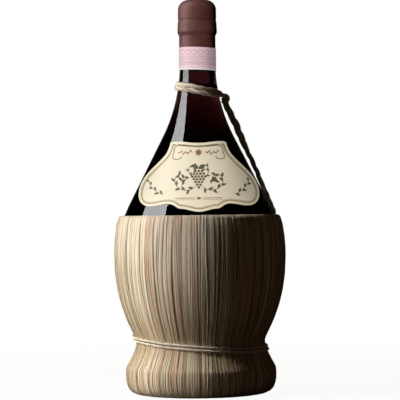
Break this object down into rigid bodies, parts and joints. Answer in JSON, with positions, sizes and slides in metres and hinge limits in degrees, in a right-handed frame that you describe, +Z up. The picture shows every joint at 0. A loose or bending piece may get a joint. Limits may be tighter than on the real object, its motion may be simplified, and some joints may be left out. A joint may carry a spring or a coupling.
{
  "type": "fiasco wine bottle",
  "caption": "Round-bottomed glass wine flask in a straw basket with a tied waist, a neck cord with a sling, and a capsuled stopper.",
  "frame": {"origin": "centre of the base, on the surface that the bottle stands on, with the bottle's axis through it", "axes": "+Z up along the bottle's axis; -Y is the front, which carries the label; +X is the side with the sling"},
  "size_m": [0.1355, 0.1356, 0.311],
  "materials": {
    "glass": "gloss",
    "wine": "gloss",
    "stopper_wood": "satin",
    "cork": "matte",
    "capsule": "satin",
    "strip_paper": "matte",
    "label_paper": "matte",
    "straw": "matte",
    "straw_lining": "matte",
    "raffia": "matte"
  },
  "bodies": {
    "flask": {"glass_flask": "glass", "wine": "wine", "capsule_skirt": "capsule", "neck_strip": "strip_paper", "front_label": "label_paper", "straw_outer": "straw", "straw_inner": "straw_lining", "rim_hoop": "straw_lining", "foot_ring": "straw_lining", "waist_tie": "raffia", "neck_cord": "raffia", "sling_cord": "raffia"},
    "stopper": {"stopper_head": "stopper_wood", "stopper_cork": "cork"},
    "capsule_top": {"capsule_head": "capsule", "capsule_disc": "capsule"}
  },
  "joints": [
    {"name": "stopper_pull", "type": "slide", "parent": "flask", "child": "stopper", "axis": [0, 0, 1], "range_m": [0, 0.04]},
    {"name": "capsule_lift", "type": "slide", "parent": "stopper", "child": "capsule_top", "axis": [0, 0, 1], "range_m": [0, 0.03]}
  ]
}
